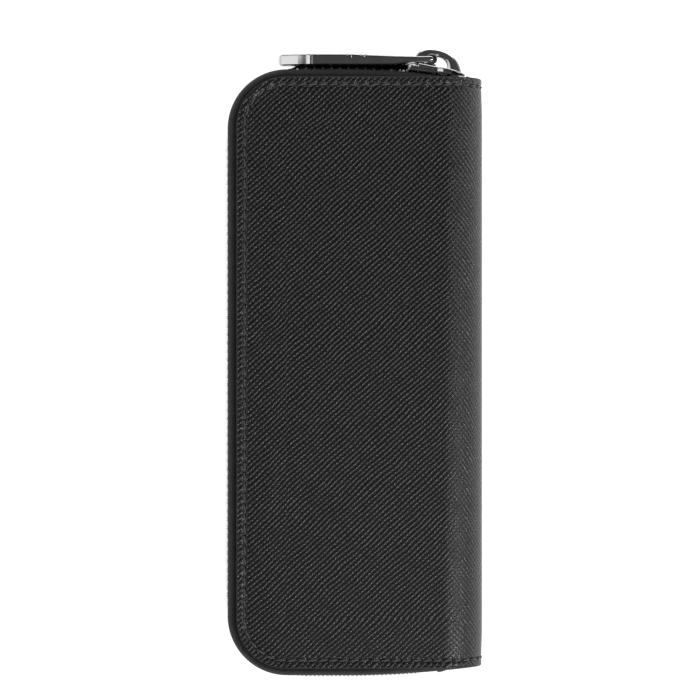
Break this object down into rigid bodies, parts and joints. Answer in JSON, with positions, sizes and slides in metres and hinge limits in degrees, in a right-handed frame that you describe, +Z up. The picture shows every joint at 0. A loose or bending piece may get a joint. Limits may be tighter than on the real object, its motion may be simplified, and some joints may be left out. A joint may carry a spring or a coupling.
{
  "type": "zip-around pen case",
  "caption": "Slim book-like case in crosshatch-grained leather that zips round three sides, with a long metal puller and sleeves for fountain pens inside.",
  "frame": {"origin": "centre of the back cover's outer face, on which the closed case lies", "axes": "+Z up through the thickness to the front cover, +Y along the case to the zip slider, +X towards the spine"},
  "size_m": [0.0695, 0.172, 0.022],
  "materials": {
    "grained_leather": "semi-gloss crosshatch grain",
    "smooth_leather": "satin smooth grain",
    "board": "matt",
    "lining_cloth": "matt woven",
    "thread": "waxed thread",
    "zip_tape": "matt ribbed weave",
    "tooth_metal": "polished",
    "slider_metal": "polished",
    "puller_metal": "polished"
  },
  "bodies": {
    "back_cover": {"back_leather": "grained_leather", "back_board": "board", "back_lining": "lining_cloth", "back_stitching": "thread", "back_zip_tape": "zip_tape", "back_teeth": "tooth_metal", "back_top_stop": "tooth_metal", "bottom_stop": "tooth_metal", "pen_panel": "smooth_leather", "left_pen_sleeve": "smooth_leather", "right_pen_sleeve": "smooth_leather", "sleeve_binding": "smooth_leather", "sleeve_stitching": "thread"},
    "spine": {"spine_leather": "grained_leather", "spine_stiffener": "board", "spine_lining": "lining_cloth", "spine_stitching": "thread"},
    "front_cover": {"front_leather": "grained_leather", "front_board": "board", "front_lining": "lining_cloth", "front_stitching": "thread", "front_zip_tape": "zip_tape", "front_teeth": "tooth_metal", "front_top_stop": "tooth_metal"},
    "slider": {"slider_body": "slider_metal", "slider_bridge": "slider_metal"},
    "puller": {"puller": "puller_metal"}
  },
  "joints": [
    {"name": "spine_fold", "type": "hinge", "parent": "back_cover", "child": "spine", "pos_m": [0.03085, 0, 0.00215], "axis": [0, 1, 0], "range_deg": [0, 90]},
    {"name": "cover_swing", "type": "hinge", "parent": "spine", "child": "front_cover", "pos_m": [0.03085, 0, 0.01985], "axis": [0, 1, 0], "range_deg": [0, 90]},
    {"name": "slider_travel", "type": "slide", "parent": "back_cover", "child": "slider", "axis": [-0.9977, 0.0678, 0], "range_m": [0, 0.025], "deforming": ["back_teeth", "front_teeth"]},
    {"name": "puller_swing", "type": "hinge", "parent": "slider", "child": "puller", "pos_m": [0.01968, 0.08562, 0.011], "axis": [0, 0, -1], "range_deg": [0, 140]}
  ],
  "couplings": [
    {"joint": "spine_fold", "follows": "cover_swing", "ratio": 1}
  ]
}
